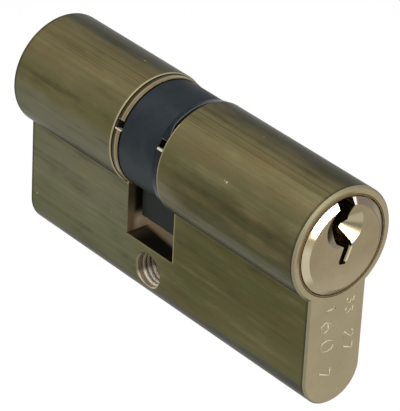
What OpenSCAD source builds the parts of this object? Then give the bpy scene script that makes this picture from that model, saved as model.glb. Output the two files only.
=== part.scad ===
// Euro profile cylinder, double sided, with a bevelled plug at each end, a sintered cam
// between two snap rings and a fixing screw hole through the web.
// +X runs out of the front plug, +Z is up and the origin is the centre of the fixing hole.

/* [Body] */
// Length from the fixing hole to the front face
front_len = 33; // [30:0.5:60]
// Length from the fixing hole to the rear face
rear_len = 27; // [27:0.5:60]
// Diameter of the round part
body_d = 17; // [16.9:0.05:17.4]
// Thickness of the web and of its round foot
web_t = 10; // [9.8:0.05:10.2]
// Height from the top of the round part to the bottom of the foot
body_h = 33; // [32.5:0.1:34]
// Chamfer round both end faces
body_edge = 0.3; // [0.1:0.05:0.5]
// Height of the fixing hole's axis above the bottom of the foot
fix_rise = 5.8; // [5.4:0.1:6.2]
// Diameter of the fixing hole's wall
fix_d = 5; // [4.2:0.1:5.2]
// Depth of the countersink at each mouth of the fixing hole
fix_mouth = 0.3; // [0.1:0.05:0.5]

/* [Cam window] */
// Width of the window across the body
window_w = 10; // [9.8:0.1:11]
// Thickness of the web between the window's floor and the fixing hole
window_floor = 1.25; // [0.6:0.05:1.4]
// Chamfer on the window's edges
window_edge = 0.2; // [0.1:0.05:0.4]

/* [Plugs] */
// Thickness of the round part's wall outside the plug's barrel
plug_wall = 2; // [1.9:0.05:2.2]
// How far the plug's flange stands out from its barrel
flange_lip = 0.55; // [0.4:0.05:0.7]
// Thickness of the flange up to the body's face
flange_t = 1; // [0.8:0.1:2]
// Height of the bevelled rim above the body's face
rim_h = 0.6; // [0.3:0.1:1]
// Width of the bevel round the plug's face
bevel_w = 0.9; // [0.6:0.1:1.2]
// Radial running clearance of the plugs
plug_gap = 0.05; // [0.02:0.01:0.08]
// Radial gap round the flange in its counterbore
flange_gap = 0.25; // [0.1:0.05:0.3]
// Diameter of the conical lead-in round the keyway
lead_d = 6.4; // [5:0.1:6.9]
// Depth of the conical lead-in
lead_h = 2.1; // [0.6:0.1:2.4]

/* [Keyway] */
// Width of the keyway's upper part
keyway_w = 2.6; // [2.2:0.05:2.7]
// Width of the narrow tail below the wards
tail_w = 1.25; // [1:0.05:1.6]
// Depth of the tail's closed end below the plug axis
tail_drop = 2.5; // [2.2:0.1:3.2]
// Height of the large ward's point above the plug axis
ward_rise = 2.4; // [2:0.05:2.6]
// How far the large ward reaches into the keyway
ward_reach = 1.2; // [1:0.05:1.6]
// Width of the chamfer along the tail's right edge at the plug's face
tail_edge = 0.45; // [0.1:0.05:0.5]

/* [Pins] */
// Distance from a face to the axis of its first chamber
first_pin = 5; // [4.5:0.1:6]
// Distance from one chamber to the next
pin_pitch = 3.6; // [3.5:0.05:3.65]
// Diameter of the pins
pin_d = 3; // [2.7:0.05:3.1]
// Radial clearance of a pin in its chamber
pin_gap = 0.05; // [0.02:0.01:0.08]
// Length of a driver pin
driver_len = 5; // [4:0.1:6]
// Length of the shortest key pin
key_pin_min = 3.8; // [3.4:0.1:4]
// Difference in length from one key pin size to the next
cut_step = 0.3; // [0.2:0.05:0.35]
// Length of a chamber stopper
stopper_len = 2; // [1.5:0.1:2.5]
// Diameter of the spring wire
wire_d = 0.4; // [0.3:0.05:0.5]
// Number of turns of a spring
spring_turns = 6; // [5:1:8]

/* [Cam] */
// Depth of the cam's barrel below the surface of the round part
cam_sink = 0.45; // [0.3:0.05:0.6]
// Clearance between the lever's tip and the window's floor
lever_gap = 1.6; // [0.3:0.1:2]
// Thickness of the lever
lever_t = 6.6; // [6:0.1:7.5]
// Length of the lever's narrowing tip
lever_taper = 1.4; // [1:0.1:4]
// Thickness of the lever's tip
tip_t = 3; // [2.4:0.1:4]
// Chamfer on the cam's edges
cam_edge = 0.15; // [0.1:0.05:0.3]
// Side clearance between the cam and a snap ring
cam_gap = 0.06; // [0.04:0.01:0.2]

/* [Clutch] */
// How far the clutch slides from one plug to the other
clutch_shift = 1.6; // [1.4:0.1:1.8]
// Thickness of the clutch's two discs together
hub_t = 1.4; // [1:0.1:1.6]
// Width of the clutch's driving bar and wings
dog_w = 3; // [2.6:0.1:3.4]
// Clearance round the driving bar and the wings
dog_gap = 0.1; // [0.05:0.01:0.15]

/* [Snap rings] */
// Depth of a snap ring below the surface of the round part
ring_sink = 0.25; // [0.1:0.05:0.5]
// Chamfer round both edges of a snap ring
ring_edge = 0.1; // [0.05:0.05:0.2]
// Thickness of a snap ring
ring_t = 1.2; // [0.7:0.05:1.3]
// Width of a snap ring's gap
ring_split = 1.3; // [1:0.1:2]
// Depth of the ring's groove in the plug
groove_h = 0.6; // [0.4:0.05:0.8]
// Clearance on each side of a ring
ring_gap = 0.05; // [0.03:0.01:0.08]

/* [Hidden] */
$fn = 96;
eps = 0.01;
pins = 5;
// the round part's radius leads: the plug, cam and rings follow it by a wall or a clearance
body_r = body_d / 2;
plug_r = body_r - plug_wall;
bore_r = plug_r + plug_gap;
flange_r = plug_r + flange_lip;
face_r = flange_r - bevel_w;
cam_r = body_r - cam_sink;
ring_r = body_r - ring_sink;
fix_r = fix_d / 2;
// the foot leads: the fixing hole, the window's floor and the lever's tip follow it upwards
foot_drop = body_h - body_r - web_t / 2;
fix_drop = body_h - body_r - fix_rise;
window_drop = fix_drop - fix_r - window_floor;
lever_reach = window_drop - lever_gap;
lever_shoulder = lever_reach - lever_taper;
pin_r = pin_d / 2;
chamber_r = pin_r + pin_gap;
// rings run against the window's side faces
ring_out = window_w / 2 - ring_gap;
ring_in = ring_out - ring_t;
groove_r = plug_r - groove_h;
cam_half = ring_in - cam_gap;
// the plugs stop short of each other so that the clutch's discs can slide between them
slide_gap = 0.1;
plug_end = (hub_t + clutch_shift) / 2 + slide_gap;
dog_len = clutch_shift - slide_gap;
slot_depth = dog_len + slide_gap;
hub_front = plug_end - slide_gap;
hub_mid = hub_front - hub_t / 2;
hub_rear = hub_front - hub_t;
hub_r = plug_r - 0.3;
wing_r = plug_r + (cam_r - plug_r) * 0.5;
notch_r = wing_r + dog_gap;
// pins rest with their joint just inside the plug's surface, as the right key holds them
shear_gap = 0.15;
key_pin_foot = plug_r - shear_gap;
driver_top = bore_r + 0.05;
driver_foot = driver_top + driver_len;
chamber_roof = 0.5;
stopper_foot = foot_drop + sqrt(pow(web_t / 2, 2) - pow(chamber_r, 2)) - 0.15;
stopper_top = stopper_foot - stopper_len;
spring_seat = 0.1;
coil_r = chamber_r - wire_d / 2 - 0.15;
// key pin sizes from the face inwards
front_cuts = [2, 0, 4, 1, 3];
rear_cuts = [1, 3, 0, 4, 2];
// direction of each snap ring's gap, turned from the top towards the near side
front_split_turn = 59;
rear_split_turn = 65;

// distance of chamber i from the fixing hole's plane, for a body end at length l
function chamber_at(l, i) = l - first_pin - (i - 1) * pin_pitch;

function key_pin_len(cut) = key_pin_min + cut * cut_step;

// moves its children from the fixing hole's axis to the plug axis
module at_axis() {
  translate([0, 0, fix_drop]) children();
}

// turns a piece of the front side round to the rear side
module to_rear() {
  rotate([0, 0, 180]) children();
}

// extrudes a cross-section drawn in the Y-Z plane from x0 to x1
module along_x(x0, x1) {
  translate([x0, 0, 0])
    rotate([90, 0, 90])
      linear_extrude(x1 - x0) children();
}

// plain cylinder on the X axis
module rod(x0, x1, r) {
  translate([x0, 0, 0])
    rotate([0, 90, 0]) cylinder(h = x1 - x0, r = r);
}

// cylinder on the X axis with its own chamfer at each end
module chamfered_rod(x0, x1, r, c0, c1) {
  rotate([0, 90, 0])
    rotate_extrude()
      polygon([[0, x0], [r - c0, x0], [r, x0 + c0], [r, x1 - c1], [r - c1, x1], [0, x1]]);
}

// upright slab with chamfered corners, seen from above a rectangle from x0 to x1
module chamfered_slab(x0, x1, w, z0, z1, c0, c1) {
  translate([0, 0, z0])
    linear_extrude(z1 - z0)
      polygon([
        [x0 + c0, -w / 2], [x1 - c1, -w / 2], [x1, -w / 2 + c1], [x1, w / 2 - c1],
        [x1 - c1, w / 2], [x0 + c0, w / 2], [x0, w / 2 - c0], [x0, -w / 2 + c0]
      ]);
}

// cam window through the web, its edges chamfered on both flanks
module window_cut() {
  half = window_w / 2;
  e = window_edge;
  w = web_t / 2;
  intersection() {
    translate([0, 0, -window_drop - 1])
      linear_extrude(window_drop + 2)
        polygon([
          [half, e - w], [half, w - e], [half + 2 * e, w + e], [-half - 2 * e, w + e],
          [-half, w - e], [-half, e - w], [-half - 2 * e, -w - e], [half + 2 * e, -w - e]
        ]);
    along_x(-half - 1, half + 1)
      polygon([
        [e - w, -window_drop], [w - e, -window_drop], [w + e, -window_drop - 2 * e],
        [w + e, 1], [-w - e, 1], [-w - e, -window_drop - 2 * e]
      ]);
  }
}

// solid outline of the body with the window open
module body_blank() {
  half = window_w / 2;
  chamfered_rod(half, front_len, body_r, window_edge, body_edge);
  chamfered_rod(-rear_len, -half, body_r, body_edge, window_edge);
  difference() {
    union() {
      chamfered_slab(-rear_len, front_len, web_t, -foot_drop, 0, body_edge, body_edge);
      translate([0, 0, -foot_drop])
        chamfered_rod(-rear_len, front_len, web_t / 2, body_edge, body_edge);
    }
    window_cut();
  }
}

// pin chambers drilled up through the foot into the plug bore, for the front side
module chambers(l, z0, z1) {
  for (i = [1:pins])
    translate([chamber_at(l, i), 0, z0]) cylinder(h = z1 - z0, r = chamber_r);
}

// threaded hole's wall and its two countersunk mouths
module fixing_hole() {
  translate([0, 0, -fix_drop])
    rotate([90, 0, 0]) {
      translate([0, 0, -web_t / 2 - 1]) cylinder(h = web_t + 2, r = fix_r);
      for (turn = [0, 180])
        rotate([turn, 0, 0])
          translate([0, 0, web_t / 2 - fix_mouth])
            cylinder(h = fix_mouth + eps, r1 = fix_r, r2 = fix_r + fix_mouth + eps);
    }
}

module housing() {
  color([0.47, 0.44, 0.29])
    at_axis()
      difference() {
        body_blank();
        rod(-rear_len - 1, front_len + 1, bore_r);
        rod(front_len - flange_t, front_len + 1, flange_r + flange_gap);
        rod(-rear_len - 1, -rear_len + flange_t, flange_r + flange_gap);
        chambers(front_len, -body_h, -bore_r + 1);
        to_rear() chambers(rear_len, -body_h, -bore_r + 1);
        fixing_hole();
      }
}

// ends of the slanting right edge of the keyway's tail
tail_top = [1, -0.6];
tail_end = [0.3, -tail_drop + 0.2];

// wedge that chamfers the tail's right edge at a face at x
module tail_chamfer(x) {
  run = tail_top - tail_end;
  lean = atan2(run[0], run[1]);
  translate([x, tail_end[0], tail_end[1]])
    rotate([-lean, 0, 0])
      linear_extrude(norm(run) + tail_edge)
        polygon([
          [-tail_edge, -tail_edge / 2], [-tail_edge, 0], [eps, tail_edge + eps],
          [eps, -tail_edge / 2]
        ]);
}

// keyway's cross-section: open through the top of the plug, warded on the right
module keyway_section() {
  left = -keyway_w / 2 - 0.13;
  right = keyway_w / 2 - 0.13;
  polygon([
    [left, flange_r + 1],
    [left, 1.3],
    [left + 0.15, 0.75],
    [tail_top[0] - tail_w, tail_top[1] + 0.7],
    [tail_end[0] - tail_w, tail_end[1] + 0.45],
    [tail_end[0] - tail_w + 0.1, -tail_drop + 0.2],
    [tail_end[0] - 0.15, -tail_drop],
    tail_end,
    tail_top,
    [right - 0.05, 0.5],
    [right - ward_reach, ward_rise],
    [right, ward_rise + 0.95],
    [right, flange_r + 1]
  ]);
}

// barrel, ring groove, flange and bevelled rim of a plug that ends at length l
module plug_blank(l) {
  rotate([0, 90, 0])
    rotate_extrude()
      polygon([
        [0, plug_end],
        [plug_r - cam_edge, plug_end],
        [plug_r, plug_end + cam_edge],
        [plug_r, ring_in - ring_gap],
        [groove_r, ring_in - ring_gap],
        [groove_r, ring_out + ring_gap],
        [plug_r, ring_out + ring_gap],
        [plug_r, l - flange_t],
        [flange_r, l - flange_t],
        [flange_r, l],
        [face_r, l + rim_h],
        [0, l + rim_h]
      ]);
}

// plug of the front side with its keyway, lead-in, clutch slot and chambers
module plug(l) {
  top = l + rim_h;
  difference() {
    plug_blank(l);
    along_x(plug_end - 1, top + 1) keyway_section();
    tail_chamfer(top);
    translate([top - lead_h, -0.2, lead_d / 2])
      rotate([0, 90, 0])
        cylinder(h = lead_h + eps, r1 = 0, r2 = lead_d / 2 + eps);
    translate([plug_end - 1, -dog_w / 2 - dog_gap, -body_r])
      cube([slot_depth + 1, dog_w + 2 * dog_gap, body_d]);
    chambers(l, -body_r, -chamber_roof);
  }
}

module front_plug() {
  color([0.61, 0.55, 0.44]) at_axis() plug(front_len);
}

module rear_plug() {
  color([0.61, 0.55, 0.44]) at_axis() to_rear() plug(rear_len);
}

// lever's outline: parallel flanks, then a tip that narrows inside the reach
module lever_section() {
  intersection() {
    polygon([
      [-lever_t / 2, -plug_r / 2],
      [-lever_t / 2, -lever_shoulder],
      [-tip_t / 2, -lever_reach],
      [tip_t / 2, -lever_reach],
      [lever_t / 2, -lever_shoulder],
      [lever_t / 2, -plug_r / 2]
    ]);
    circle(r = lever_reach);
  }
}

// small fillet between the barrel and a flank of the lever
module lever_root() {
  f = 0.8;
  cy = lever_t / 2 + f;
  cz = -sqrt(pow(cam_r + f, 2) - pow(cy, 2));
  k = cam_r / (cam_r + f);
  difference() {
    polygon([[lever_t / 2 - 0.2, cz], [cy, cz], [cy * k, cz * k], [lever_t / 2 - 0.2, cz * k]]);
    translate([cy, cz]) circle(r = f);
  }
}

module cam() {
  color([0.19, 0.21, 0.25])
    at_axis()
      difference() {
        union() {
          chamfered_rod(-cam_half, cam_half, cam_r, cam_edge, cam_edge);
          intersection() {
            along_x(-cam_half, cam_half) {
              lever_section();
              lever_root();
              mirror([1, 0]) lever_root();
            }
            chamfered_slab(-cam_half, cam_half, lever_t + 2, -lever_reach - 1, 0, cam_edge, cam_edge);
          }
        }
        rod(-cam_half - 1, cam_half + 1, bore_r);
        translate([-cam_half - 1, -dog_w / 2 - dog_gap, -notch_r])
          cube([2 * cam_half + 2, dog_w + 2 * dog_gap, 2 * notch_r]);
      }
}

// one half of the clutch: disc, driving bar and two wings, from x0 (joint) out to x1 (bar's end)
module clutch_half(x0, x1, disc) {
  s = x1 > x0 ? 1 : -1;
  a = min(x0, x0 + s * disc);
  b = max(x0, x0 + s * disc);
  rod(a, b, hub_r);
  translate([min(x0, x1), -dog_w / 2, -hub_r + 0.3])
    cube([abs(x1 - x0), dog_w, 2 * hub_r - 0.6]);
  intersection() {
    translate([a, -dog_w / 2, -wing_r]) cube([b - a, dog_w, 2 * wing_r]);
    rod(a, b, wing_r);
  }
}

module front_clutch() {
  color([0.62, 0.63, 0.64])
    at_axis() clutch_half(hub_mid, hub_front + dog_len, hub_t / 2);
}

module rear_clutch() {
  color([0.62, 0.63, 0.64])
    at_axis() clutch_half(hub_mid, hub_rear - dog_len, hub_t / 2);
}

// split ring in the plug's groove, its gap turned from the top towards -Y
module snap_ring(x0, x1, turn) {
  rotate([turn, 0, 0])
    difference() {
      chamfered_rod(x0, x1, ring_r, ring_edge, ring_edge);
      rod(x0 - 1, x1 + 1, groove_r + ring_gap);
      translate([x0 - 1, -ring_split / 2, 0]) cube([x1 - x0 + 2, ring_split, body_d]);
    }
}

module front_snap_ring() {
  color([0.62, 0.52, 0.33]) at_axis() snap_ring(ring_in, ring_out, front_split_turn);
}

module rear_snap_ring() {
  color([0.62, 0.52, 0.33]) at_axis() snap_ring(-ring_out, -ring_in, rear_split_turn);
}

// key pin of the front side: flat chamfered foot at the plug's surface, conical tip in the keyway
module key_pin(x, cut) {
  h = key_pin_len(cut);
  translate([x, 0, -key_pin_foot])
    rotate_extrude()
      polygon([
        [0, 0], [pin_r - 0.35, 0], [pin_r, 0.3], [pin_r, h - 0.9], [0.55, h], [0, h]
      ]);
}

// driver pin of the front side, waisted so that it catches at the plug's edge when picked
module driver(x) {
  translate([x, 0, -driver_foot])
    rotate_extrude()
      polygon([
        [0, 0], [pin_r - 0.3, 0], [pin_r, 0.3], [pin_r, driver_len * 0.4],
        [pin_r - 0.4, driver_len * 0.4 + 0.5], [pin_r - 0.4, driver_len - 1.2],
        [pin_r, driver_len - 0.8], [pin_r, driver_len - 0.25], [pin_r - 0.25, driver_len],
        [0, driver_len]
      ]);
}

// height along a spring at turn t: close-wound for one turn at each end, open between
function coil_rise(t, h) =
  let (closed = wire_d * 1.05, open = (h - wire_d - 2 * closed) / (spring_turns - 2))
  t < 1 ? t * closed :
  t > spring_turns - 1 ? closed + (spring_turns - 2) * open + (t - spring_turns + 1) * closed :
  closed + (t - 1) * open;

// round wire swept along the coil, hexagonal in section
module spring(x) {
  sides = 6;
  steps = 10;
  rings = spring_turns * steps;
  bottom = -stopper_top + spring_seat;
  h = -driver_foot - spring_seat - bottom;
  points = [
    for (i = [0:rings])
      let (t = i / steps, a = 360 * t)
        for (j = [0:sides - 1])
          let (b = 360 * j / sides, r = coil_r + wire_d / 2 * cos(b))
            [r * cos(a), r * sin(a), wire_d / 2 + coil_rise(t, h) + wire_d / 2 * sin(b)]
  ];
  walls = [
    for (i = [0:rings - 1], j = [0:sides - 1])
      let (k = (j + 1) % sides, m = i * sides)
        for (tri = [[m + j, m + sides + j, m + k], [m + k, m + sides + j, m + sides + k]]) tri
  ];
  first_cap = [for (j = [1:sides - 2]) [0, j, j + 1]];
  last = rings * sides;
  last_cap = [for (j = [1:sides - 2]) [last, last + j + 1, last + j]];
  translate([x, 0, bottom])
    polyhedron(points = points, faces = concat(walls, first_cap, last_cap), convexity = 10);
}

// brass plug that closes a chamber at the foot
module stopper(x) {
  r = chamber_r - 0.02;
  translate([x, 0, -stopper_foot])
    rotate_extrude()
      polygon([[0, 0], [r - 0.2, 0], [r, 0.2], [r, stopper_len], [0, stopper_len]]);
}

// stack of one chamber, by the name of the piece wanted
module stack_piece(what, x, cut) {
  if (what == "key_pin") color([0.72, 0.66, 0.5]) key_pin(x, cut);
  if (what == "driver") color([0.7, 0.7, 0.72]) driver(x);
  if (what == "spring") color([0.75, 0.75, 0.77]) spring(x);
  if (what == "stopper") color([0.66, 0.6, 0.42]) stopper(x);
}

housing();
front_plug();
rear_plug();
cam();
front_clutch();
rear_clutch();
front_snap_ring();
rear_snap_ring();
for (what = ["key_pin", "driver", "spring", "stopper"], i = [1:pins]) {
  at_axis() stack_piece(what, chamber_at(front_len, i), front_cuts[i - 1]);
  at_axis() to_rear() stack_piece(what, chamber_at(rear_len, i), rear_cuts[i - 1]);
}
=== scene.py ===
"""Looks of a double-sided euro profile cylinder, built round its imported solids."""

import logging
import math
from dataclasses import dataclass, field
from enum import Enum

import bpy
import numpy as np
from mathutils import Matrix, Vector


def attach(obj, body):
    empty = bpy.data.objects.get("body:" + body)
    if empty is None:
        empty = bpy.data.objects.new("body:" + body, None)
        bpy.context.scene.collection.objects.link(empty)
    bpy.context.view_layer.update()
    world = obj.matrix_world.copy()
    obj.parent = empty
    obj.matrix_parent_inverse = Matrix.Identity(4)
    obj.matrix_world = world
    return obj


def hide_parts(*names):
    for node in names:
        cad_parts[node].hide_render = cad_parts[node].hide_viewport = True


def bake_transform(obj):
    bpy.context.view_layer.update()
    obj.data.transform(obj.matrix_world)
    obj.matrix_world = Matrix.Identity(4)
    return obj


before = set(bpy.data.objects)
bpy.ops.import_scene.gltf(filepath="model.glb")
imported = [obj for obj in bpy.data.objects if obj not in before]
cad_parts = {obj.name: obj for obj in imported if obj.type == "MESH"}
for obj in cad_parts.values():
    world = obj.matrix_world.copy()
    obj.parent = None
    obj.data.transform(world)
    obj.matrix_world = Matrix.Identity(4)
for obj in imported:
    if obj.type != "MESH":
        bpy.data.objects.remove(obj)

LOG = logging.getLogger("cylinder")
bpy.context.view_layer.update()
MM = 0.001
RGB = tuple[float, float, float]


def linear(red: int, green: int, blue: int) -> RGB:
    """Turn a screen colour into scene-linear light.

    Args:
        red: red from 0 to 255.
        green: green from 0 to 255.
        blue: blue from 0 to 255.

    Returns:
        The linear colour.
    """
    share = np.array([red, green, blue], float) / 255.0
    curve = np.where(share <= 0.04045, share / 12.92, ((share + 0.055) / 1.055) ** 2.4)
    return tuple(float(v) for v in curve)


class Side(Enum):
    """The two halves of the cylinder, by the sign of X at their face."""

    FRONT = 1
    REAR = -1

    @property
    def label(self) -> str:
        """Name used at the start of the nodes of this side."""
        return self.name.lower()


@dataclass
class Wire:
    """A number inside a shader, with Python's own operators."""

    tree: "FinishTree"
    socket: bpy.types.NodeSocket

    def _with(self, operation: str, other: "Wire | float", swapped: bool = False) -> "Wire":
        """Join this value and another by one Math node."""
        pair = (other, self) if swapped else (self, other)
        return self.tree.math(operation, *pair)

    def __add__(self, other: "Wire | float") -> "Wire":
        """Sum of the two."""
        return self._with("ADD", other)

    def __radd__(self, other: "Wire | float") -> "Wire":
        """Sum of the two."""
        return self._with("ADD", other)

    def __sub__(self, other: "Wire | float") -> "Wire":
        """This less the other."""
        return self._with("SUBTRACT", other)

    def __rsub__(self, other: "Wire | float") -> "Wire":
        """The other less this."""
        return self._with("SUBTRACT", other, True)

    def __mul__(self, other: "Wire | float") -> "Wire":
        """Product of the two."""
        return self._with("MULTIPLY", other)

    def __rmul__(self, other: "Wire | float") -> "Wire":
        """Product of the two."""
        return self._with("MULTIPLY", other)

    def __truediv__(self, other: "Wire | float") -> "Wire":
        """This over the other."""
        return self._with("DIVIDE", other)

    def __rtruediv__(self, other: "Wire | float") -> "Wire":
        """The other over this."""
        return self._with("DIVIDE", other, True)

    def __pow__(self, other: "Wire | float") -> "Wire":
        """This raised to the other."""
        return self._with("POWER", other)

    def __abs__(self) -> "Wire":
        """Size without its sign."""
        return self.tree.math("ABSOLUTE", self)

    def rise(self, low: float, high: float) -> "Wire":
        """Smooth step from 0 at low to 1 at high.

        Args:
            low: value where the step starts.
            high: value where it is complete.

        Returns:
            The step.
        """
        made = self.tree.node(
            "ShaderNodeMapRange",
            {"interpolation_type": "SMOOTHSTEP"},
            {"Value": self, "From Min": low, "From Max": high},
        )
        return Wire(self.tree, made.outputs["Result"])


class FinishTree:
    """Node tree of one finish, with its surface shader and its output."""

    def __init__(self, name: str) -> None:
        """Start an empty material called name."""
        self.material = bpy.data.materials.new(name)
        self.material.use_nodes = True
        self.nodes = self.material.node_tree.nodes
        self.links = self.material.node_tree.links
        self.nodes.clear()
        self.surface = self.nodes.new("ShaderNodeBsdfPrincipled")
        out = self.nodes.new("ShaderNodeOutputMaterial")
        self.links.new(self.surface.outputs["BSDF"], out.inputs["Surface"])

    def node(self, kind: str, settings: dict, inputs: dict) -> bpy.types.Node:
        """Add a node.

        Args:
            kind: the node's type.
            settings: its own settings, set first.
            inputs: values or links of its sockets, by name or by number.

        Returns:
            The node.
        """
        made = self.nodes.new(kind)
        for key, value in settings.items():
            setattr(made, key, value)
        for key, value in inputs.items():
            if isinstance(value, Wire):
                self.links.new(value.socket, made.inputs[key])
            elif isinstance(value, bpy.types.NodeSocket):
                self.links.new(value, made.inputs[key])
            else:
                made.inputs[key].default_value = value
        return made

    def math(self, operation: str, *values: "Wire | float") -> Wire:
        """Add one Math node over the values given."""
        made = self.node("ShaderNodeMath", {"operation": operation}, dict(enumerate(values)))
        return Wire(self, made.outputs[0])

    def place(self) -> tuple[Wire, Wire, Wire]:
        """Place on the object in millimetres, as X, Y and Z."""
        at = self.node("ShaderNodeTexCoord", {}, {})
        parts = self.node("ShaderNodeSeparateXYZ", {}, {0: at.outputs["Object"]})
        return tuple(Wire(self, parts.outputs[i]) * 1000.0 for i in range(3))

    def grain(self, x: Wire, y: Wire, z: Wire, detail: float = 3.0, rough: float = 0.6) -> Wire:
        """Cloudy noise over three coordinates.

        Args:
            x: first coordinate, one unit to a feature.
            y: second coordinate.
            z: third coordinate.
            detail: octaves.
            rough: weight of the finer octaves.

        Returns:
            Noise about one half.
        """
        spot = self.node("ShaderNodeCombineXYZ", {}, {"X": x, "Y": y, "Z": z})
        made = self.node(
            "ShaderNodeTexNoise",
            {},
            {"Vector": spot.outputs[0], "Scale": 1.0, "Detail": detail, "Roughness": rough},
        )
        return Wire(self, made.outputs["Fac"])

    def blend(
        self,
        share: "Wire | float",
        low: "RGB | bpy.types.NodeSocket",
        high: "RGB | bpy.types.NodeSocket",
    ) -> bpy.types.NodeSocket:
        """Mix two colours.

        Args:
            share: 0 for the first colour, 1 for the second.
            low: first colour.
            high: second colour.

        Returns:
            The mixed colour.
        """
        pair = [c if isinstance(c, bpy.types.NodeSocket) else (*c, 1.0) for c in (low, high)]
        made = self.node(
            "ShaderNodeMix",
            {"data_type": "RGBA", "clamp_factor": True},
            {0: share, 6: pair[0], 7: pair[1]},
        )
        return made.outputs[2]

    def relief(self, height: Wire, depth: float) -> bpy.types.NodeSocket:
        """Bump whose full height is depth metres."""
        made = self.node("ShaderNodeBump", {}, {"Height": height, "Distance": depth})
        return made.outputs["Normal"]

    def close(self, **sockets: object) -> bpy.types.Material:
        """Set or link the surface shader's sockets, with spaces written as underscores."""
        for key, value in sockets.items():
            socket = self.surface.inputs[key.replace("_", " ")]
            if isinstance(value, Wire):
                self.links.new(value.socket, socket)
            elif isinstance(value, bpy.types.NodeSocket):
                self.links.new(value, socket)
            else:
                socket.default_value = value
        return self.material


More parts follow.
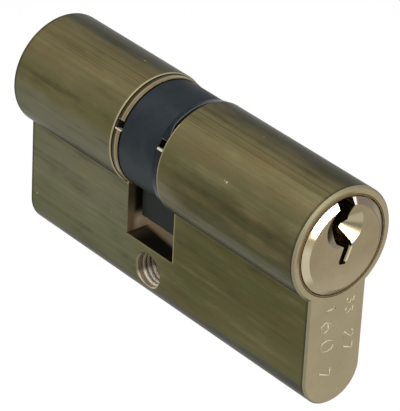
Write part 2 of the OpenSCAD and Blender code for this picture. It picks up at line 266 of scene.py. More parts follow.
@dataclass(frozen=True)
class DrawnBrass:
    """Brass body: drawn sides with lengthwise tones and painted reflection, milled end faces and window, painted
    highlight along the window's edges, and painted light and shade in the window, the fixing hole and round the plug.
    """

    # Painted reflection and shade of the drawn sides: a dark crown, a lighter grey underside, a darker front web that
    # is lighter towards the bottom, and a dark band along the foot's underside.
    crown_shade: RGB = linear(70, 70, 61)
    crest: RGB = linear(96, 89, 64)
    tan: RGB = linear(105, 97, 67)
    flank: RGB = linear(97, 93, 62)
    underside_reflection: RGB = linear(108, 105, 86)
    web_rear: RGB = linear(107, 105, 82)
    web_front_shade: RGB = linear(84, 81, 50)
    web_low_reflection: RGB = linear(99, 95, 66)
    sole_front_shade: RGB = linear(70, 70, 72)
    sole_rear_shade: RGB = linear(84, 78, 70)
    dark: RGB = linear(52, 50, 34)
    light: RGB = linear(136, 129, 96)
    green: RGB = linear(84, 90, 58)
    brown: RGB = linear(116, 98, 66)
    # Painted shade on the rear end's bevel.
    rear_bevel_shade: RGB = linear(58, 55, 38)
    edge_green: RGB = linear(152, 146, 118)
    cut_dull: RGB = linear(148, 136, 107)
    cut_bright: RGB = linear(163, 151, 124)
    # Painted shade at the edge of the plug's bore, widening the dark gap.
    groove: RGB = linear(86, 69, 44)
    # Painted light inside the gap between the plug's flange and the body.
    gap: RGB = linear(132, 112, 78)
    # Inside the window: walls darker towards the top, painted shadow of the lever, painted light on the far floor.
    wall_top: RGB = linear(70, 62, 47)
    wall_low: RGB = linear(118, 98, 74)
    floor_near_shade: RGB = linear(76, 60, 42)
    floor_far_light: RGB = linear(222, 201, 168)
    recess: RGB = linear(26, 24, 16)
    # Fixing hole: painted shade above, painted highlight on its lower part.
    hole: RGB = linear(124, 113, 90)
    hole_low_highlight: RGB = linear(204, 190, 162)
    # Painted highlight colour along the window's edges.
    painted_highlight: RGB = linear(160, 150, 118)
    nick: RGB = linear(190, 182, 150)
    axis_height: float = 18.7
    front_face: float = 33.0
    rear_face: float = -27.0
    edge: float = 0.3
    flange_bore: float = 7.3
    window_half: float = 5.0
    window_edge: float = 0.2
    window_floor: float = 3.75
    hole_radius: float = 2.5
    roughness: float = 0.34

    def lengthwise(self, t: FinishTree, x: Wire, y: Wire, z: Wire, angle: Wire) -> bpy.types.NodeSocket:
        """Colour of the drawn sides.

        The tone follows the angle round the bar as painted reflection: a painted dark crown, a
        lighter tan shoulder and a lighter greyer underside. On the web the painted reflection runs
        from grey at the rear to a darker olive at the front, lighter towards the bottom, with a
        painted dark band along the underside of the foot.
        Broad drifts, blotches and fine lines run along the body over these tones.

        Args:
            t: the finish's tree.
            x: place along the body in millimetres.
            y: place across it.
            z: height.
            angle: degrees from the top towards the near side.

        Returns:
            The colour.
        """
        drift = t.grain(x * 0.05, y * 0.05, z * 0.05, 1.0, 0.5) * 3.0
        broad = t.grain(x * 0.03 + drift, y * 0.35, z * 0.35, 3.0, 0.55)
        blotch = t.grain(x * 0.12, y * 0.4, z * 0.4, 4.0, 0.6)
        streak = t.grain(x * 0.015 + 5.0, y * 1.3, z * 1.3, 2.0, 0.55)
        lines = t.grain(x * 0.04, y * 3.6, z * 3.6, 3.0, 0.6)
        turn = angle + (broad - 0.5) * 16.0 + (streak - 0.5) * 9.0
        front = x.rise(2.0, 12.0)
        # Painted reflection round the bar: dark crown, darker still at the front, then tan shoulder, olive flank,
        # painted shade on the front flank and a lighter grey underside.
        bar = t.blend(turn.rise(-11.0, 0.0), t.blend(front * 0.5, self.crown_shade, self.dark), self.crest)
        bar = t.blend(turn.rise(2.0, 12.0), bar, self.tan)
        bar = t.blend(turn.rise(50.0, 64.0), bar, self.flank)
        bar = t.blend(front * turn.rise(60.0, 76.0) * 0.5, bar, self.dark)
        bar = t.blend((turn - front * 24.0).rise(74.0, 94.0), bar, self.underside_reflection)
        # Painted reflection on the web: darker at the front, lighter towards the bottom.
        web = t.blend((x + (broad - 0.5) * 12.0).rise(-8.0, 10.0), self.web_rear, self.web_front_shade)
        web = t.blend(((z + (blotch - 0.5) * 8.0) * -1.0).rise(-7.0, 4.0) * x.rise(4.0, 20.0) * 0.9, web, self.web_low_reflection)
        web = t.blend((z * -1.0 + (blotch - 0.5) * 8.0).rise(-6.0, 3.0) * (1.0 - x.rise(-6.0, 6.0)) * 0.4, web, self.green)
        # Painted dark band along the underside of the foot.
        sole = 0.0 - z - 2.2 + x * 0.02 + (streak - 0.5) * 0.8
        web = t.blend(sole.rise(-0.4, 0.4) * 0.85, web, t.blend(x.rise(-5.0, 18.0), self.sole_rear_shade, self.sole_front_shade))
        base = t.blend((z - self.axis_height).rise(-7.2, -6.7), web, bar)
        tone = (broad - 0.5) * 1.2 + (blotch - 0.5) * 1.6 + (streak - 0.5) * 1.1 + (lines - 0.5) * 0.25
        hue = (t.grain(x * 0.09 - 7.0, y * 0.55, z * 0.55, 3.0, 0.55) - 0.5) * 2.9
        base = t.blend(hue.rise(0.0, 0.8) * 0.42, base, self.green)
        base = t.blend((0.0 - hue).rise(0.0, 0.8) * 0.38, base, self.brown)
        base = t.blend((0.0 - tone).rise(0.0, 0.7) * 0.6, base, self.dark)
        thin = t.grain(x * 0.02 + 9.0, y * 7.0, z * 7.0, 2.0, 0.5)
        base = t.blend((0.44 - thin).rise(0.0, 0.07) * (1.0 - angle.rise(20.0, 60.0)) * 0.45, base, self.dark)
        return t.blend(tone.rise(0.0, 0.8) * 0.48, base, self.light)

    def nicks(self, t: FinishTree, x: Wire, y: Wire, z: Wire) -> Wire:
        """Sparse short bright nicks: the crests of a stretched noise."""
        spot = t.grain(x * 0.8, y * 0.9, z * 0.5, 2.0, 0.5)
        where = t.grain(x * 0.09 + 3.0, y * 0.09, z * 0.09, 1.0, 0.5)
        return spot.rise(0.735, 0.775) * where.rise(0.5, 0.62)

    def window(self, t: FinishTree, x: Wire, y: Wire, z: Wire) -> bpy.types.NodeSocket:
        """Colour inside the cam window: brown walls darker towards the top, painted shadow behind and under the lever,
        and painted light on the far floor and at the foot of the walls on the far side.
        """
        wall = t.blend(z.rise(5.5, 9.5), self.wall_low, self.wall_top)
        # Painted shadow of the lever on the upper walls, except on the near side.
        wall = t.blend(y.rise(-3.9, -3.2) * z.rise(6.2, 7.2), wall, self.recess)
        # Painted light at the foot of the walls on the far side.
        wall = t.blend((1.0 - z.rise(5.0, 6.8)) * y.rise(-4.0, -2.6), wall, self.floor_far_light)
        # Floor: painted shadow under the lever on the near side, painted light on the far side.
        far = (y + x * 0.12).rise(-2.3, -1.2)
        ground = t.blend(t.math("MAXIMUM", x.rise(-4.4, -2.4), far), self.floor_near_shade, self.recess)
        ground = t.blend(far, ground, self.floor_far_light)
        return t.blend(z.rise(self.window_floor + 0.01, self.window_floor + 0.05), ground, wall)

    def material(self) -> bpy.types.Material:
        """Build the finish."""
        t = FinishTree("body_brass")
        x, y, z = t.place()
        up = z - self.axis_height
        angle = t.math("ARCTAN2", 0.0 - y, up) * (180.0 / math.pi)
        drawn = self.lengthwise(t, x, y, z, angle)
        nick = self.nicks(t, x, y, z)
        drawn = t.blend(nick, drawn, self.nick)
        reach = t.math("MAXIMUM", x - self.front_face, self.rear_face - x)
        face = reach.rise(-0.03, -0.005)
        bevel = reach.rise(-self.edge - 0.02, -self.edge + 0.01) * (1.0 - face)
        drawn = t.blend(reach.rise(-self.edge - 0.5, -self.edge - 0.2) * 0.6, drawn, self.dark)
        milled = t.grain(x * 0.9, y * 2.4, z * 2.4, 4.0, 0.6)
        cloud = t.grain(x * 0.2, y * 0.2, z * 0.2, 2.0, 0.5)
        machined = t.blend((milled - 0.5) * 0.7 + (cloud - 0.5) * 0.9 + 0.5, self.cut_dull, self.cut_bright)
        radius = t.math("SQRT", y * y + up * up)
        # Painted shade on the face round the edge of the plug's bore.
        bore_edge = 1.0 - radius.rise(self.flange_bore + 0.12, self.flange_bore + 0.26)
        # Painted shade on the inner part of the face round the plug, at the upper left.
        painted_sector = 1.0 - abs(angle - 40.0).rise(45.0, 60.0)
        ring = 1.0 - radius.rise(self.flange_bore + 0.4, self.flange_bore + 0.75)
        machined = t.blend(ring * painted_sector * 0.8, machined, self.brown)
        machined = t.blend(bore_edge, machined, self.groove)
        inside = 1.0 - abs(x).rise(self.window_half + 0.005, self.window_half + 0.03)
        inside = inside * z.rise(self.window_floor - 0.03, self.window_floor - 0.01)
        # Painted highlight lines along the window's edges: on the round part's edges and beside the window's right edge
        # on the web face.
        lip_from = self.window_half + self.window_edge * 0.5
        lip = (1.0 - abs(x).rise(lip_from, lip_from + 0.1)) * abs(x).rise(self.window_half - 0.04, self.window_half)
        bar = z.rise(self.axis_height - 7.3, self.axis_height - 6.8)
        edge = x.rise(self.window_half, self.window_half + 0.04) * (1.0 - x.rise(lip_from + 0.2, lip_from + 0.3))
        edge = edge * z.rise(self.window_floor, self.window_floor + 0.3) * (1.0 - y.rise(-4.9, -4.8)) * 0.8
        lip = t.math("MAXIMUM", lip * bar, edge)
        bore = t.math("SQRT", x * x + z * z)
        hole = 1.0 - bore.rise(self.hole_radius + 0.02, self.hole_radius + 0.3)
        # End bevels: painted shade on the rear one, machined colour on the front one.
        colour = t.blend(bevel * 0.75, drawn, t.blend(x.rise(-1.0, 1.0), self.rear_bevel_shade, self.edge_green))
        colour = t.blend(lip, colour, self.painted_highlight)
        colour = t.blend(inside, colour, self.window(t, x, y, z))
        # Fixing hole: painted highlight on the lower part, painted shade above.
        colour = t.blend(hole, colour, t.blend(z.rise(-1.7, -0.9), self.hole_low_highlight, self.hole))
        colour = t.blend(face, colour, machined)
        # Painted light inside the gap between the plug's flange and the body.
        gap = (1.0 - radius.rise(self.flange_bore + 0.01, self.flange_bore + 0.05)) * reach.rise(-1.1, -1.0)
        colour = t.blend(gap, colour, self.gap)
        hairs = t.grain(x * 0.05, y * 12.0, z * 12.0, 2.0, 0.6)
        relief = (hairs - 0.5) * (1.0 - face) + (milled - 0.5) * face * 0.7 - nick * 0.5
        return t.close(
            Base_Color=colour,
            Metallic=1.0 - t.math("MAXIMUM", inside * 0.6, hole * 0.4 + gap * 0.7),
            Specular_Tint=(0.62, 0.62, 0.6, 1.0),
            Roughness=(hairs - 0.5) * 0.2 + self.roughness,
            Normal=t.relief(relief, 0.000006),
        )


@dataclass(frozen=True)
class TurnedBrass:
    """Brass turned on a lathe: faint rings round the plug axis, with painted highlight and painted shade on the bevel,
    the lead-in and the keyway's edge, and painted light in the gap.
    """

    name: str = "plug_brass"
    dull: RGB = linear(134, 120, 92)
    bright: RGB = linear(154, 140, 111)
    # Painted highlight colour of the bevel and the keyway's edge.
    painted_highlight: RGB = linear(208, 196, 168)
    # Painted bright spot on the bevel.
    spot_highlight: RGB = linear(246, 240, 228)
    shaded: RGB = linear(118, 106, 94)
    # Painted shade on the bevel's outer rim and the face's edge.
    rim: RGB = linear(124, 107, 78)
    # Painted light inside the gap round the plug's flange.
    gap: RGB = linear(132, 112, 78)
    # Painted shade and painted highlight on the lead-in.
    cone_shade: RGB = linear(116, 112, 92)
    cone_highlight: RGB = linear(186, 176, 150)
    axis_height: float = 18.7
    front_face: float = 33.0
    rear_face: float = -27.0
    rim_height: float = 0.6
    face_radius: float = 6.15
    roughness: float = 0.27

    def cone(
        self, t: FinishTree, base: bpy.types.NodeSocket, across: Wire, up: Wire, above: Wire
    ) -> bpy.types.NodeSocket:
        """Colour of the lead-in: painted highlight and painted shade in sectors round its own axis.

        Args:
            t: the finish's tree.
            base: colour of the turned face.
            across: millimetres to the keyway's right.
            up: millimetres above the plug axis.
            above: millimetres above the body's face.

        Returns:
            The colour.
        """
        within = (1.0 - above.rise(self.rim_height - 0.08, self.rim_height - 0.03)) * above.rise(-2.0, -1.6)
        beside, over = across + 0.2, up - 3.2
        reach = t.math("SQRT", beside * beside + over * over)
        within = within * (1.0 - reach.rise(3.2, 3.3))
        sector = t.math("ARCTAN2", beside, over) * (180.0 / math.pi)
        light = 1.0 - abs(sector - 80.0).rise(8.0, 22.0)
        dark = 1.0 - abs(sector - 107.0).rise(4.0, 9.0)
        left = 1.0 - abs(sector + 130.0).rise(30.0, 60.0)
        # Painted highlight on the lead-in's right side, a painted dark band below it, and painted shade on its lower
        # left.
        base = t.blend(within * light * 0.6, base, self.cone_highlight)
        base = t.blend(within * dark * 0.85, base, self.cone_shade)
        return t.blend(within * left * 0.65, base, self.shaded)

    def bevel(
        self, t: FinishTree, base: bpy.types.NodeSocket, angle: Wire, radius: Wire, above: Wire
    ) -> bpy.types.NodeSocket:
        """Painted highlight and painted shade on the bevel round the face and on the face's own edge.

        Args:
            t: the finish's tree.
            base: colour of the turned face.
            angle: degrees round the plug from the top, less than 0 to the keyway's left.
            radius: millimetres from the plug axis.
            above: millimetres above the body's face.

        Returns:
            The colour.
        """
        bevel = (1.0 - above.rise(self.rim_height - 0.03, self.rim_height)) * radius.rise(6.1, 6.2)
        # Painted highlight on the bevel at the upper left, the left and the lower right, a painted bright spot just
        # right of the keyway, and painted shade on its upper right, its outer rim and along the face's right edge.
        painted_sector = 1.0 - abs(angle + 36.0).rise(22.0, 27.0)
        low_left = 1.0 - abs(angle + 96.0).rise(16.0, 34.0)
        far = 1.0 - abs(angle - 135.0).rise(35.0, 55.0)
        shade = angle.rise(14.0, 18.0) * (1.0 - angle.rise(42.0, 56.0))
        corner = angle.rise(9.0, 10.0) * (1.0 - angle.rise(13.5, 15.0))
        edge = radius.rise(self.face_radius - 0.25, self.face_radius - 0.05) * (1.0 - bevel)
        base = t.blend(edge * (1.0 - abs(angle - 95.0).rise(55.0, 80.0)) * 0.7, base, self.rim)
        base = t.blend(bevel * t.math("MAXIMUM", painted_sector, low_left * 0.7), base, self.painted_highlight)
        base = t.blend(bevel * painted_sector * radius.rise(6.8, 6.88) * 0.75, base, self.rim)
        base = t.blend(bevel * far * 0.7, base, self.painted_highlight)
        base = t.blend(bevel * shade * 0.9, base, self.shaded)
        return t.blend(bevel * corner, base, self.spot_highlight)

    def material(self) -> bpy.types.Material:
        """Build the finish."""
        t = FinishTree(self.name)
        x, y, z = t.place()
        up = z - self.axis_height
        side = x.rise(-0.01, 0.01) * 2.0 - 1.0
        across = y * side
        angle = t.math("ARCTAN2", across, up) * (180.0 / math.pi)
        above = t.math("MAXIMUM", x - self.front_face, self.rear_face - x)
        radius = t.math("SQRT", y * y + up * up)
        rings = t.grain(radius * 6.0, x * 6.0, radius * 0.0, 3.0, 0.7)
        cloud = t.grain(x * 0.3, y * 0.3, z * 0.3, 3.0, 0.5)
        tone = (rings - 0.5) * 0.45 + (cloud - 0.5) * 0.9 + 0.5
        base = self.cone(t, t.blend(tone, self.dull, self.bright), across, up, above)
        base = self.bevel(t, base, angle, radius, above)
        # Lighter towards the bottom of the face, in the painted highlight colour.
        base = t.blend((1.0 - up.rise(-6.0, -1.0)) * 0.18, base, self.painted_highlight)
        # Painted highlight on the near edge of the keyway's right wall, below the axis.
        strip = above.rise(0.28, 0.32) * (1.0 - above.rise(self.rim_height - 0.2, self.rim_height - 0.1))
        strip = strip * across.rise(0.1, 0.2) * (1.0 - up.rise(-0.1, 0.1)) * (1.0 - radius.rise(2.9, 3.1))
        # Painted light inside the gap round the plug's flange.
        gap = (1.0 - above.rise(-0.01, 0.01)) * above.rise(-1.1, -1.0) * radius.rise(6.99, 7.03)
        base = t.blend(gap, base, self.gap)
        return t.close(
            Base_Color=t.blend(strip, base, self.painted_highlight),
            Metallic=1.0 - gap * 0.7,
            Roughness=(rings - 0.5) * 0.1 + self.roughness,
            Normal=t.relief(rings, 0.000003),
        )


@dataclass(frozen=True)
class ThreadBrass:
    """Brass of the tapped hole, painted near white for its lit lower part, lighter on the crests than in the roots,
    with painted shade over its upper part.
    """

    root: RGB = linear(230, 218, 194)
    crest: RGB = linear(254, 248, 232)
    shaded: RGB = linear(112, 101, 80)
    root_radius: float = 2.45
    crest_radius: float = 2.34
    roughness: float = 0.25

    def material(self) -> bpy.types.Material:
        """Build the finish."""
        t = FinishTree("thread_brass")
        x, y, z = t.place()
        radius = t.math("SQRT", x * x + z * z)
        # Painted highlight on the crests against the roots.
        painted_highlight = 1.0 - radius.rise(self.crest_radius, self.root_radius)
        swirl = t.grain(x * 2.0, y * 2.0, z * 2.0, 3.0, 0.6)
        base = t.blend(painted_highlight + (swirl - 0.5) * 0.5, self.root, self.crest)
        # Painted shade over the upper part of the hole.
        return t.close(
            Base_Color=t.blend(z.rise(-1.6, -0.9) * 0.92, base, self.shaded),
            Metallic=0.15,
            Roughness=(swirl - 0.5) * 0.2 + self.roughness,
            Normal=t.relief(swirl, 0.000005),
        )


@dataclass(frozen=True)
class SinteredSteel:
    """Dark oiled sintered steel with fine pores, browner on the lever, and a paler painted reflection under the barrel.
    """

    dull: RGB = linear(38, 43, 47)
    bright: RGB = linear(54, 60, 64)
    pale: RGB = linear(66, 71, 72)
    lever: RGB = linear(52, 53, 48)
    axis_height: float = 18.7
    roughness: float = 0.42

    def material(self) -> bpy.types.Material:
        """Build the finish."""
        t = FinishTree("cam_steel")
        x, y, z = t.place()
        up = z - self.axis_height
        angle = t.math("ARCTAN2", 0.0 - y, up) * (180.0 / math.pi)
        pores = t.grain(x * 7.0, y * 7.0, z * 7.0, 4.0, 0.6)
        cloud = t.grain(x * 0.35, y * 0.35, z * 0.35, 3.0, 0.5)
        tone = (pores - 0.5) * 0.6 + (cloud - 0.5) * 1.2 + 0.5
        base = t.blend(tone, self.dull, self.bright)
        # Painted reflection: paler under the barrel.
        base = t.blend((angle + (cloud - 0.5) * 20.0).rise(74.0, 100.0) * 0.8, base, self.pale)
        base = t.blend(1.0 - up.rise(-7.6, -7.2), base, t.blend(tone * 0.6, self.lever, self.dull))
        return t.close(
            Base_Color=base,
            Metallic=0.9,
            Specular_Tint=(0.5, 0.5, 0.5, 1.0),
            Roughness=(pores - 0.5) * 0.3 + self.roughness,
            Normal=t.relief(pores, 0.00001),
        )


@dataclass(frozen=True)
class PlainMetal:
    """Small metal piece, turned, stamped or drawn, with a faint mottled tone."""

    name: str
    dull: RGB
    bright: RGB
    roughness: float = 0.3
    grain_size: float = 0.3

    def material(self) -> bpy.types.Material:
        """Build the finish."""
        t = FinishTree(self.name)
        x, y, z = t.place()
        mottle = t.grain(x / self.grain_size, y / self.grain_size, z / self.grain_size, 3.0, 0.6)
        return t.close(
            Base_Color=t.blend((mottle - 0.5) * 1.4 + 0.5, self.dull, self.bright),
            Metallic=1.0,
            Roughness=(mottle - 0.5) * 0.15 + self.roughness,
            Normal=t.relief(mottle, 0.000004),
        )


def dress(names: list[str], material: bpy.types.Material) -> None:
    """Give CAD nodes their finish.

    Args:
        names: the nodes.
        material: the finish.
    """
    for name in names:
        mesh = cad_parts[name].data
        if not mesh.materials:
            mesh.materials.append(material)
        for i in range(len(mesh.materials)):
            mesh.materials[i] = material
    LOG.info("%s on %d nodes", material.name, len(names))


def grid_piece(name: str, points: np.ndarray, around: bool, material: bpy.types.Material) -> bpy.types.Object:
    """Make a mesh object from a grid of points, with both ends of its length capped when it goes round.

    Args:
        name: the piece's name.
        points: array of rows along the length, columns across it, and X, Y, Z.
        around: whether the last column joins the first.
        material: its finish.

    Returns:
        The object, at the origin.
    """
    rows, cols = points.shape[:2]
    last = cols if around else cols - 1
    i, j = np.meshgrid(np.arange(rows - 1), np.arange(last), indexing="ij")
    k = (j + 1) % cols
    quads = np.stack([i * cols + j, i * cols + k, (i + 1) * cols + k, (i + 1) * cols + j], -1)
    faces = quads.reshape(-1, 4).tolist()
    if around:
        faces.append(list(range(cols))[::-1])
        faces.append(list(range((rows - 1) * cols, rows * cols)))
    mesh = bpy.data.meshes.new(name)
    mesh.from_pydata(points.reshape(-1, 3).tolist(), [], faces)
    mesh.materials.append(material)
    mesh.polygons.foreach_set("use_smooth", np.ones(len(mesh.polygons), bool))
    mesh.update()
    piece = bpy.data.objects.new(name, mesh)
    bpy.context.scene.collection.objects.link(piece)
    return piece


@dataclass
class Housing:
    """Brass body with the fixing hole's thread."""

    thread_pitch: float = 0.8
    thread_major: float = 2.52
    thread_minor: float = 2.33
    thread_half_length: float = 4.55
    face: float = 32.89
    stroke: float = 0.19
    stamps: tuple[tuple[str, float, float, float], ...] = (
        ("1", -1.08, 9.25, 1.0),
        ("6", -1.39, 6.6, 1.45),
        ("0", -1.3, 3.65, 1.45),
        ("7", -1.42, -0.69, 1.2),
        ("3", 2.3, 9.6, 0.8),
        ("3", 2.2, 8.1, 0.8),
        ("2", 2.46, 4.2, 1.0),
        ("7", 2.45, 2.3, 1.0),
    )
    digits: dict[str, list[tuple[float, float]]] = field(
        default_factory=lambda: {
            "0": [(0.6, 1.6), (0.15, 1.4), (0.0, 0.8), (0.15, 0.2), (0.6, 0.0), (1.05, 0.2), (1.2, 0.8), (1.05, 1.4), (0.65, 1.6)],
            "1": [(0.25, 1.2), (0.6, 1.6), (0.6, 0.0)],
            "2": [(0.0, 1.25), (0.3, 1.6), (0.9, 1.6), (1.15, 1.2), (0.0, 0.0), (1.2, 0.0)],
            "3": [(0.0, 1.6), (1.1, 1.6), (0.5, 1.0), (1.05, 0.8), (1.1, 0.3), (0.6, 0.0), (0.0, 0.2)],
            "6": [(1.0, 1.6), (0.35, 1.15), (0.0, 0.5), (0.3, 0.0), (0.9, 0.0), (1.15, 0.45), (0.8, 0.9), (0.15, 0.75)],
            "7": [(0.0, 1.6), (1.15, 1.6), (0.4, 0.0)],
        }
    )
    brass: DrawnBrass = field(default_factory=DrawnBrass)

    def thread(self, material: bpy.types.Material) -> bpy.types.Object:
        """Build the female thread as one ridge that winds along the hole.

        Each point lies at angle a along the winding: its place along the hole is the start
        plus the pitch times the turns done, shifted by the profile's offset, and its radius
        is the profile's. The profile is a flat-topped V that fades out at both ends.

        Args:
            material: the body's finish.

        Returns:
            The thread.
        """
        run = 2 * self.thread_half_length - self.thread_pitch
        turns = run / self.thread_pitch
        a = np.linspace(0.0, 2 * math.pi * turns, int(turns * 36))[:, None]
        along = np.array([-0.39, -0.06, 0.06, 0.39])[None, :]
        reach = np.array([0.0, 1.0, 1.0, 0.0])[None, :]
        fade = np.clip(np.minimum(a, a.max() - a) / 0.8, 0.02, 1.0)
        radius = self.thread_major - (self.thread_major - self.thread_minor) * reach * fade
        y = -run / 2 + self.thread_pitch * a / (2 * math.pi) + along
        points = np.stack([radius * np.sin(a), y, radius * np.cos(a)], -1) * MM
        piece = grid_piece("fixing_thread", points, True, material)
        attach(piece, "housing")
        return piece

    def marks(self, material: bpy.types.Material) -> None:
        """Build the plain size numbers on the web's front face, as thin raised strokes.

        Each stroke is a round tube along a digit's path: at every corner of the path a ring
        of points lies at the tube's radius, out of the face and across the path's direction.
        A stamp is its digit, the middle's Y and Z in millimetres and its size, and the digits
        read downwards.

        Args:
            material: the strokes' finish.
        """
        ring = np.linspace(0.0, 2 * math.pi, 6, endpoint=False)
        for place, (digit, across, height, size) in enumerate(self.stamps, 1):
            path = (np.array(self.digits[digit]) - (0.6, 0.8)) * size
            path = np.stack([across + path[:, 1], height - path[:, 0]], -1)
            way = np.gradient(path, axis=0)
            way /= np.linalg.norm(way, axis=1)[:, None]
            side = np.stack([-way[:, 1], way[:, 0]], -1)
            spot = path[:, None, :] + side[:, None, :] * np.cos(ring)[None, :, None] * self.stroke
            out = np.broadcast_to(self.face + np.sin(ring)[None, :] * self.stroke, spot.shape[:2])
            points = np.concatenate([out[..., None], spot], -1) * MM
            piece = grid_piece(f"mark_{place}", points, True, material)
            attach(piece, "housing")

    def build(self) -> None:
        """Dress the body and add its thread and its marks."""
        material = self.brass.material()
        dress(["housing"], material)
        self.thread(ThreadBrass().material())
        self.marks(PlainMetal("mark_brass", linear(150, 138, 110), linear(172, 161, 134), 0.6).material())
        LOG.info("housing with its thread and marks")


@dataclass(frozen=True)
class RingMetal:
    """Snap ring whose outside shows a painted highlight line beside a painted shadow band, with bright cut ends and a
    painted glint beside the split.

    The band lies against the window's side, and so_far gives the distance from the middle of
    the body at which it starts; past fade_angle it thins out and is gone 20 degrees later.
    """

    name: str
    dull: RGB
    bright: RGB
    # Painted highlight line and painted shadow band on the ring's outside.
    line: RGB
    shadow_band: RGB
    split_angle: float
    so_far: float = 4.4
    line_width: float = 0.25
    fade_angle: float = 180.0
    glint: float = 0.14
    end: RGB = linear(216, 206, 182)
    half_gap: float = 0.65
    axis_height: float = 18.7
    roughness: float = 0.3

    def material(self) -> bpy.types.Material:
        """Build the finish."""
        t = FinishTree(self.name)
        x, y, z = t.place()
        up = z - self.axis_height
        angle = t.math("ARCTAN2", 0.0 - y, up) * (180.0 / math.pi)
        mottle = t.grain(x * 2.0, y * 1.2, z * 1.2, 3.0, 0.6)
        start = (angle - self.fade_angle).rise(0.0, 20.0) * 0.8 + self.so_far + (mottle - 0.5) * 0.12
        past = abs(x) - start
        base = t.blend((mottle - 0.5) * 1.3 + 0.5, self.dull, self.bright)
        # Painted highlight line, then painted shadow next to the window's side.
        base = t.blend(past.rise(-self.line_width - 0.06, -self.line_width + 0.02), base, self.line)
        base = t.blend(past.rise(-0.03, 0.03), base, self.shadow_band)
        turn = math.radians(self.split_angle)
        across = y * math.cos(turn) + up * math.sin(turn)
        # Bright cut ends, widened on one side by a painted glint.
        end = 1.0 - abs(across + self.glint / 2).rise(self.half_gap + self.glint / 2, self.half_gap + self.glint / 2 + 0.03)
        end = end * (up + 9.0).rise(0.0, 1.0) * angle.rise(0.0, 5.0)
        return t.close(
            Base_Color=t.blend(end, base, self.end),
            Metallic=1.0 - end * 0.8,
            Roughness=(mottle - 0.5) * 0.15 + self.roughness,
            Normal=t.relief(mottle, 0.000004),
        )


@dataclass
class KeyPlugs:
    """The two plugs and the snap rings that hold them."""

    brass: TurnedBrass = field(default_factory=TurnedBrass)
    rear_ring: RingMetal = RingMetal(
        "rear_ring_metal",
        linear(112, 100, 74),
        linear(134, 121, 94),
        line=linear(140, 127, 99),
        shadow_band=linear(62, 56, 34),
        split_angle=65.0,
    )
    front_ring: RingMetal = RingMetal(
        "front_ring_metal",
        linear(30, 34, 38),
        linear(44, 48, 52),
        line=linear(92, 94, 96),
        shadow_band=linear(12, 12, 12),
        split_angle=59.0,
        so_far=4.5,
        line_width=0.12,
        fade_angle=36.0,
        glint=0.32,
    )

    def build(self) -> None:
        """Dress both plugs and both rings."""
        dress([f"{side.label}_plug" for side in Side], self.brass.material())
        dress(["front_snap_ring"], self.front_ring.material())
        dress(["rear_snap_ring"], self.rear_ring.material())


@dataclass
class CamDrive:
    """The cam and the clutch inside it."""

    steel: SinteredSteel = field(default_factory=SinteredSteel)
    clutch: PlainMetal = PlainMetal("clutch_steel", linear(150, 151, 152), linear(186, 187, 188), 0.32)

    def build(self) -> None:
        """Dress the cam and both clutch halves."""
        dress(["cam"], self.steel.material())
        dress([f"{side.label}_clutch" for side in Side], self.clutch.material())


@dataclass
class PinStacks:
    """Key pins, drivers, springs and stoppers of both sides.

    The springs are made here again, as coils of round wire.
    """

    count: int = 5
    spring_bottom: float = -3.304
    spring_top: float = 7.0
    spring_turns: int = 6
    coil_radius: float = 1.2
    wire: float = 0.4
    finishes: dict[str, PlainMetal] = field(
        default_factory=lambda: {
            "key_pin": PlainMetal("key_pin_brass", linear(196, 172, 112), linear(220, 200, 146), 0.24),
            "driver": PlainMetal("driver_steel", linear(178, 178, 180), linear(205, 205, 208), 0.26),
            "spring": PlainMetal("spring_steel", linear(186, 187, 190), linear(214, 215, 218), 0.22),
            "stopper": PlainMetal("stopper_brass", linear(142, 128, 92), linear(174, 158, 120), 0.34),
        }
    )

    def spring(self, name: str, driver: str, x: float, material: bpy.types.Material) -> bpy.types.Object:
        """Build one coil spring that stands on its stopper.

        The wire's middle lies at angle a on a circle, at a height that rises by 1.05 wires
        in the first and the last turn and evenly between them. Round each such point a ring
        of points lies at the wire's radius, outwards and upwards.

        Args:
            name: the CAD node it stands for.
            driver: not used.
            x: place of the chamber along the body in millimetres.
            material: its finish.

        Returns:
            The spring.
        """
        closed = self.wire * 1.05
        turns = np.linspace(0.0, self.spring_turns, self.spring_turns * 20 + 1)
        reach = self.spring_top - self.spring_bottom - self.wire
        rise = np.interp(turns, [0.0, 1.0, self.spring_turns - 1.0, self.spring_turns], [0.0, closed, reach - closed, reach])
        a = 2 * math.pi * turns[:, None]
        b = np.linspace(0.0, 2 * math.pi, 10, endpoint=False)[None, :]
        radius = self.coil_radius + self.wire / 2 * np.cos(b)
        z = self.spring_bottom + self.wire / 2 + rise[:, None] + self.wire / 2 * np.sin(b)
        points = np.stack([x + radius * np.cos(a), radius * np.sin(a), z], -1) * MM
        piece = grid_piece(f"{name}_coil", points, True, material)
        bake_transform(piece)
        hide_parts(name)
        return piece

    def build(self) -> None:
        """Dress every stack, one finish to a kind of piece, and make the springs."""
        for kind, finish in self.finishes.items():
            names = [f"{s.label}_{kind}_{i}" for s in Side for i in range(1, self.count + 1)]
            material = finish.material()
            dress(names, material)
            if kind != "spring":
                continue
            for name in names:
                xs = [(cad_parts[name].matrix_world @ v.co).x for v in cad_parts[name].data.vertices]
                middle = (min(xs) + max(xs)) / 2 / MM
                self.spring(name, name.replace("spring", "driver"), middle, material)


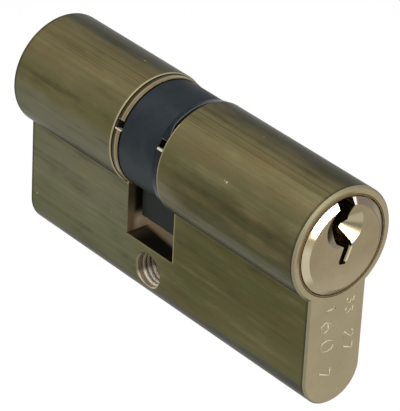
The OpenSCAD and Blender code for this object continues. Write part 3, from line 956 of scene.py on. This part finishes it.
@dataclass
class Studio:
    """Floor, lamps, background and camera."""

    axis_height: float = 18.7
    azimuth: float = 48.727
    elevation: float = 30.37
    roll: float = 3.09
    distance: float = 411.672
    across: float = 2.615
    upward: float = -8.457
    focal_px: float = 3008.785
    image_height: float = 411.0
    floor_height: float = -70.0
    floor_glow: float = 0.9

    def camera(self) -> None:
        """Place the camera at the photograph's angle, with its long lens."""
        a, e, r = (math.radians(v) for v in (self.azimuth, self.elevation, self.roll))
        back = np.array([math.sin(a) * math.cos(e), -math.cos(a) * math.cos(e), math.sin(e)])
        level = np.array([math.cos(a), math.sin(a), 0.0])
        over = np.cross(back, level)
        right = math.cos(r) * level + math.sin(r) * over
        up = -math.sin(r) * level + math.cos(r) * over
        at = right * self.across + up * self.upward + back * self.distance
        at = (at + np.array([0.0, 0.0, self.axis_height])) * MM
        lens = bpy.data.cameras.new("photo_camera")
        lens.sensor_width = 36.0
        lens.lens = self.focal_px * lens.sensor_width / self.image_height
        lens.clip_start = 0.01
        lens.clip_end = 20.0
        camera = bpy.data.objects.new("photo_camera", lens)
        turn = Matrix((right, up, back)).transposed().to_4x4()
        turn.translation = Vector(at)
        camera.matrix_world = turn
        bpy.context.scene.collection.objects.link(camera)
        bpy.context.scene.camera = camera

    def world(self) -> None:
        """White to the camera and in reflections, softer as light on the object."""
        world = bpy.data.worlds.new("studio")
        bpy.context.scene.world = world
        world.use_nodes = True
        nodes, links = world.node_tree.nodes, world.node_tree.links
        nodes.clear()
        path = nodes.new("ShaderNodeLightPath")
        first = nodes.new("ShaderNodeMath")
        first.operation = "MAXIMUM"
        second = nodes.new("ShaderNodeMath")
        second.operation = "MAXIMUM"
        links.new(path.outputs["Is Camera Ray"], first.inputs[0])
        links.new(path.outputs["Is Glossy Ray"], first.inputs[1])
        links.new(first.outputs[0], second.inputs[0])
        links.new(path.outputs["Is Transmission Ray"], second.inputs[1])
        level = nodes.new("ShaderNodeMapRange")
        level.inputs["To Min"].default_value = 0.75
        level.inputs["To Max"].default_value = 1.0
        links.new(second.outputs[0], level.inputs["Value"])
        glow = nodes.new("ShaderNodeBackground")
        glow.inputs["Color"].default_value = (1.0, 1.0, 1.0, 1.0)
        links.new(level.outputs["Result"], glow.inputs["Strength"])
        out = nodes.new("ShaderNodeOutputWorld")
        links.new(glow.outputs[0], out.inputs["Surface"])

    def floor(self) -> None:
        """Lay a plain pale floor below the cylinder."""
        size, height = 3.0, self.floor_height * MM
        mesh = bpy.data.meshes.new("floor")
        corners = [(-size, -size, height), (size, -size, height), (size, size, height), (-size, size, height)]
        mesh.from_pydata(corners, [], [(0, 1, 2, 3)])
        mesh.materials.append(self.floor_material())
        floor = bpy.data.objects.new("floor", mesh)
        bpy.context.scene.collection.objects.link(floor)

    def floor_material(self) -> bpy.types.Material:
        """Pale matt floor that the camera and metal see nearly white, with its shadow kept."""
        t = FinishTree("pale_floor")
        material = t.close(Base_Color=(0.93, 0.93, 0.92, 1.0), Roughness=0.9)
        path = t.node("ShaderNodeLightPath", {}, {})
        seen = Wire(t, path.outputs["Is Camera Ray"]) + Wire(t, path.outputs["Is Glossy Ray"])
        seen = t.math("MINIMUM", seen + Wire(t, path.outputs["Is Transmission Ray"]), 1.0)
        glow = t.node("ShaderNodeEmission", {}, {"Color": (1.0, 1.0, 1.0, 1.0), "Strength": 1.0})
        mix = t.node("ShaderNodeMixShader", {}, {0: seen * self.floor_glow})
        t.links.new(t.surface.outputs["BSDF"], mix.inputs[1])
        t.links.new(glow.outputs[0], mix.inputs[2])
        out = next(n for n in t.nodes if n.type == "OUTPUT_MATERIAL")
        t.links.new(mix.outputs[0], out.inputs["Surface"])
        return material

    def facing(self, piece: bpy.types.Object, toward: RGB, along: RGB, distance: float) -> None:
        """Set a lamp or card up at a distance, facing the cylinder, with its X axis along a way."""
        way = Vector(toward).normalized()
        side = Vector(along)
        side = (side - way * side.dot(way)).normalized()
        turn = Matrix((side, way.cross(side), way)).transposed().to_4x4()
        turn.translation = way * distance
        piece.matrix_world = turn
        bpy.context.scene.collection.objects.link(piece)

    def lamp(
        self, name: str, toward: RGB, along: RGB, distance: float, size: tuple[float, float], power: float
    ) -> None:
        """Hang one soft rectangular lamp.

        Args:
            name: the lamp's name.
            toward: direction from the cylinder to the lamp.
            along: direction of its length.
            distance: metres from the cylinder.
            size: its length and width in metres.
            power: watts.
        """
        data = bpy.data.lights.new(name, "AREA")
        data.shape = "RECTANGLE"
        data.size, data.size_y = size
        data.energy = power
        self.facing(bpy.data.objects.new(name, data), toward, along, distance)

    def card(self, name: str, toward: RGB, along: RGB, size: tuple[float, float]) -> None:
        """Hang one dark card that only shows in reflections, to shade the bevels.

        Args:
            name: the card's name.
            toward: direction from the cylinder to the card.
            along: direction of its length.
            size: its length and width in metres.
        """
        mesh = bpy.data.meshes.new(name)
        u, v = size[0] / 2, size[1] / 2
        mesh.from_pydata([(-u, -v, 0.0), (u, -v, 0.0), (u, v, 0.0), (-u, v, 0.0)], [], [(0, 1, 2, 3)])
        t = FinishTree(name)
        mesh.materials.append(t.close(Base_Color=(0.06, 0.06, 0.06, 1.0), Roughness=0.9))
        piece = bpy.data.objects.new(name, mesh)
        self.facing(piece, toward, along, 0.5)
        piece.visible_camera = piece.visible_diffuse = piece.visible_shadow = False

    def build(self) -> None:
        """Set up the whole studio."""
        self.camera()
        self.world()
        self.floor()
        self.lamp("side_lamp", (0.94, 0.053, 0.335), (-0.193, 0.893, 0.405), 0.6, (0.42, 0.13), 3.4)
        self.lamp("top_lamp", (-0.3, -0.3, 1.0), (1.0, 0.0, 0.0), 0.9, (0.6, 0.6), 1.2)
        self.card("low_card", (0.92, -0.35, -0.17), (0.36, 0.93, 0.0), (0.2, 0.05))
        LOG.info("studio")


def main() -> None:
    """Build the studio and dress every piece."""
    logging.basicConfig(level=logging.INFO, format="%(name)s: %(message)s")
    view = bpy.context.scene.view_settings
    view.view_transform = "Standard"
    Studio().build()
    Housing().build()
    KeyPlugs().build()
    CamDrive().build()
    PinStacks().build()


if __name__ == "__main__":
    main()
